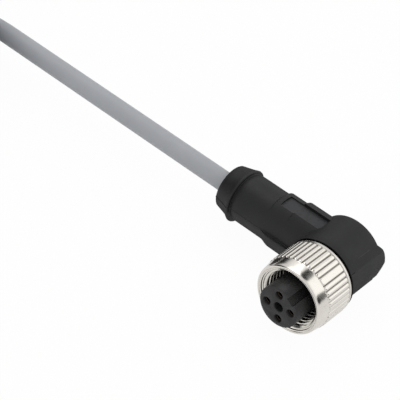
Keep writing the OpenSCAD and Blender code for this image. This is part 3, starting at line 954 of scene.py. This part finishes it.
def nickel_plate():
    """Bright nickel on turned brass, darker with dirt and painted shade in the knurl's grooves and the
    thread's roots, and darker deeper in the thread with painted shade.
    """
    material, tree, shader, place = start("nickel_plate", 0.16, 1.0)
    parts = split(tree, place)
    along = parts["Y"]
    flat = add(tree, "ShaderNodeCombineXYZ", (parts["X"], 0.0, parts["Z"])).outputs[0]
    radius = add(tree, "ShaderNodeVectorMath", (flat,), operation="LENGTH").outputs["Value"]

    def past(value, from_mm, to_mm, low=0.0):
        return fade(tree, value, from_mm * MM, to_mm * MM, low)

    # Dirt and painted shade: dark colour in the grooves and at the thread's roots, darker the deeper the
    # thread lies, as shade falls there
    grooves = product(tree, past(radius, *GROOVE_DIRT_AND_SHADE), past(along, CONE_LEN - 0.05, CONE_LEN + 0.05))
    inside = past(radius, *INNER_WALL)
    thread = product(tree, past(radius, *THREAD_DIRT_AND_SHADE), past(along, *DEEP_PAINTED_SHADE, 0.3), inside)
    grime_and_shade = number(tree, "MAXIMUM", product(tree, grooves, 0.7), product(tree, thread, 0.8))
    skin = use(tree, metal_skin, Place=place, Pits=scale_for(0.09), Stain=scale_for(3.5))
    tone = blend(tree, product(tree, skin["Stains"], 0.35), shade(NICKEL), shade(NICKEL, 0.86))
    tone = blend(tree, product(tree, skin["Specks"], 0.25), tone, shade(NICKEL_SPECK))
    tone = blend(tree, product(tree, grime_and_shade, 0.92), tone, shade(GRIME_AND_PAINTED_SHADE))
    feed(tree, shader.inputs["Base Color"], tone)
    rough = number(tree, "MULTIPLY_ADD", skin["Stains"], 0.05, 0.14)
    rough = number(tree, "MULTIPLY_ADD", inside, 0.03, rough)
    feed(tree, shader.inputs["Roughness"], number(tree, "MULTIPLY_ADD", grime_and_shade, 0.3, rough))
    turning = {"Vector": place, "Scale": scale_for(0.5), "Distortion": 0.6, "Detail": 1.0}
    turned = add(tree, "ShaderNodeTexWave", turning, bands_direction="Y").outputs["Fac"]
    emboss(tree, shader, number(tree, "ADD", skin["Height"], product(tree, turned, 0.4)), 0.0012)
    return material


def contact_metal():
    """Thin gold on brass with stains, its colour painted far darker than gold as the shade inside the deep
    holes.
    """
    material, tree, shader, place = start("contact_metal", 0.32, 1.0)
    skin = use(tree, metal_skin, Place=place, Pits=scale_for(0.08), Stain=scale_for(0.9))
    feed(tree, shader.inputs["Base Color"], blend(tree, skin["Stains"], shade(GOLD_IN_PAINTED_SHADE), shade(GOLD_STAIN_IN_PAINTED_SHADE)))
    feed(tree, shader.inputs["Roughness"], fade(tree, skin["Stains"], 0, 1, 0.28, 0.45))
    emboss(tree, shader, skin["Height"], 0.002)
    return material


def tinned_copper():
    """Tinned strand with a little bare copper showing."""
    material, tree, shader, place = start("tinned_copper", 0.35, 1.0)
    skin = use(tree, metal_skin, Place=place, Pits=scale_for(0.06), Stain=scale_for(1.2))
    tone = blend(tree, skin["Stains"], shade(TIN), shade(TIN_STAIN))
    tone = blend(tree, product(tree, skin["Specks"], 0.6), tone, shade(COPPER))
    feed(tree, shader.inputs["Base Color"], tone)
    feed(tree, shader.inputs["Roughness"], fade(tree, skin["Stains"], 0, 1, 0.3, 0.5))
    emboss(tree, shader, skin["Height"], 0.002)
    return material


def woven_strap():
    """Black nylon tape: ribs across it and a fuzzy, uneven surface."""
    material, tree, shader, place = start("woven_strap", 0.85)
    skin = use(tree, moulded_skin, Place=place, Grain=scale_for(0.2), Patch=scale_for(2))
    across = add(tree, "ShaderNodeTexWave", {"Vector": place, "Scale": scale_for(2.4)}, bands_direction="Y")
    along = add(tree, "ShaderNodeTexWave", {"Vector": place, "Scale": scale_for(3.0)}, bands_direction="X")
    weave = number(tree, "MAXIMUM", across.outputs["Fac"], along.outputs["Fac"])
    tone = blend(tree, product(tree, weave, skin["Patches"]), shade(STRAP), shade(STRAP_RIB))
    feed(tree, shader.inputs["Base Color"], tone)
    feed(tree, shader.inputs["Roughness"], fade(tree, weave, 0, 1, 0.95, 0.75))
    emboss(tree, shader, number(tree, "MULTIPLY_ADD", skin["Height"], 0.3, weave), 0.12)
    return material


moulded_skin = moulded_skin_group()
metal_skin = metal_skin_group()
finish = {name: plastic(name, *look) for name, look in PLASTICS.items()}
mark_elbow(finish["body_black"])
nickel = nickel_plate()
contact_gold_in_painted_shade = contact_metal()
tinned = tinned_copper()

# ---- Build ----
route = cable_route()
length_mm = sum((b - a).length for a, b in zip(route, route[1:]))
cable = tube_curve("cable", route, CABLE_R, 6)

dress(elbow(), "connector", "overmould", finish["body_black"], "overmould_body")
dress(coupling_nut(), "nut", "nut", nickel, "coupling_nut")
dress(insert(), "connector", "insert", finish["insert_black"], "contact_carrier")
for place_number, centre in enumerate(contact_places(), 1):
    dress(contact(place_number, centre), "connector", "contact", contact_gold_in_painted_shade, "contact_%d" % place_number)
dress(seal(), "connector", "seal", finish["seal_rubber"], "seal_ring")
dress(cable, "connector", "cable", finish["jacket_pvc"], "cable_run", "cable_hank")
strap = dress(tie(), "connector", "tie", woven_strap(), "hank_tie")
for i, color in enumerate(CORES):
    core_slot = color + "_core"
    dress(lead(i), "connector", core_slot, finish[core_slot], "lead_" + color)
    dress(tinned_end(i), "connector", "tinned", tinned, "tip_" + color)

# Solids that stay as they are, with their finish
plain_solids = {"cable_jacket_end": "jacket_pvc", "inner_mould": "inner_plastic"}
plain_solids.update({"core_" + color: color + "_core" for color in CORES})
for node_name, look in plain_solids.items():
    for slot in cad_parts[node_name].material_slots:
        slot.material = finish[look]


# ---- Camera ----
CAMERA_PLACE = (99.05, -173.71, 194.12)
CAMERA_RIGHT = (0.7414, 0.6583, 0.1303)
CAMERA_UP = (-0.5138, 0.4320, 0.7412)
SENSOR_W = 36
LENS = 139.65372


def add_camera():
    """The product view: from the mouth's side, above and to the right."""
    right = Vector(CAMERA_RIGHT).normalized()
    up = Vector(CAMERA_UP)
    up = (up - right * up.dot(right)).normalized()
    turn = Matrix((right, up, right.cross(up))).transposed().to_4x4()
    data = bpy.data.cameras.new("camera")
    data.sensor_width = SENSOR_W
    data.lens = LENS
    data.clip_start = 0.01
    data.clip_end = 20
    camera = bpy.data.objects.new("camera", data)
    camera.matrix_world = Matrix.Translation(Vector(CAMERA_PLACE) * MM) @ turn
    bpy.context.collection.objects.link(camera)
    bpy.context.scene.camera = camera


# ---- Floor and light ----
WHITE = (1, 1, 1, 1)
FLOOR_COLOR = (0.85, 0.85, 0.85, 1)
FLOOR_HALF_M = 1.5
# Share of plain white in the floor: as the camera sees it, and as it is reflected
FLOOR_WHITE_SEEN = 0.96
FLOOR_WHITE_REFLECTED = 0.64
ROOM_LEVEL = 0.82
ROOM_DARKEST = 0.02
# Direction, half width in degrees at full strength and at none, and the level it adds or takes away
PANELS = [
    ((0.50, 0.70, 0.50), 26, 46, 0.5),
    ((-0.45, 0.60, 0.66), 10, 22, 0.25),
    ((-0.42, 0.18, 0.89), 8, 24, 1.5),
    ((0.09, 0.38, 0.92), 9, 16, -1.05),
    ((0.84, 0.36, 0.20), 8, 14, -1.15),
    ((-0.79, 0.61, 0.06), 10, 24, -0.8),
    ((-0.94, -0.22, 0.20), 20, 36, -0.8),
    ((-0.38, -0.92, 0.04), 12, 26, 0.6),
]


def add_floor():
    """A pale floor under the part that shows nearly white."""
    bm = bmesh.new()
    bmesh.ops.create_grid(bm, x_segments=1, y_segments=1, size=FLOOR_HALF_M)
    mesh = bpy.data.meshes.new("floor")
    bm.to_mesh(mesh)
    bm.free()
    mesh.transform(Matrix.Translation((0, 0, FLOOR_Z * MM)))
    floor = bpy.data.objects.new("floor", mesh)
    bpy.context.collection.objects.link(floor)
    material = bpy.data.materials.new("floor")
    material.use_nodes = True
    tree = material.node_tree
    shader = tree.nodes["Principled BSDF"]
    shader.inputs["Base Color"].default_value = FLOOR_COLOR
    shader.inputs["Roughness"].default_value = 0.6
    shader.inputs["Specular IOR Level"].default_value = 0.1
    ray = tree.nodes.new("ShaderNodeLightPath").outputs
    share = number(tree, "MULTIPLY", ray["Is Camera Ray"], FLOOR_WHITE_SEEN)
    share = number(tree, "MULTIPLY_ADD", ray["Is Glossy Ray"], FLOOR_WHITE_REFLECTED, share)
    glow = add(tree, "ShaderNodeEmission", {"Strength": 1.0})
    mix = add(tree, "ShaderNodeMixShader", (share, shader.outputs[0], glow.outputs[0]))
    feed(tree, tree.nodes["Material Output"].inputs[0], mix.outputs[0])
    mesh.materials.append(material)


def add_world():
    """Soft bright and dark panels round the part, in a studio that the camera itself sees as white."""
    world = bpy.data.worlds.new("studio")
    world.use_nodes = True
    tree = world.node_tree
    toward = tree.nodes.new("ShaderNodeTexCoord").outputs["Generated"]
    level = ROOM_LEVEL
    for direction, inner, outer, strength in PANELS:
        facing = add(tree, "ShaderNodeVectorMath", (toward, Vector(direction).normalized()),
                     operation="DOT_PRODUCT").outputs["Value"]
        edge = {"Value": facing, "From Min": math.cos(math.radians(outer)),
                "From Max": math.cos(math.radians(inner)), "To Max": strength}
        panel = add(tree, "ShaderNodeMapRange", edge, interpolation_type="SMOOTHSTEP").outputs["Result"]
        level = number(tree, "ADD", panel, level)
    back = tree.nodes["Background"]
    feed(tree, back.inputs["Color"], WHITE)
    feed(tree, back.inputs["Strength"], number(tree, "MAXIMUM", level, ROOM_DARKEST))
    seen = add(tree, "ShaderNodeBackground", {"Color": WHITE})
    camera_ray = tree.nodes.new("ShaderNodeLightPath").outputs["Is Camera Ray"]
    mix = add(tree, "ShaderNodeMixShader", (camera_ray, back.outputs[0], seen.outputs[0]))
    feed(tree, tree.nodes["World Output"].inputs[0], mix.outputs[0])
    bpy.context.scene.world = world


add_camera()
add_floor()
add_world()
bpy.context.scene.view_settings.view_transform = "Standard"
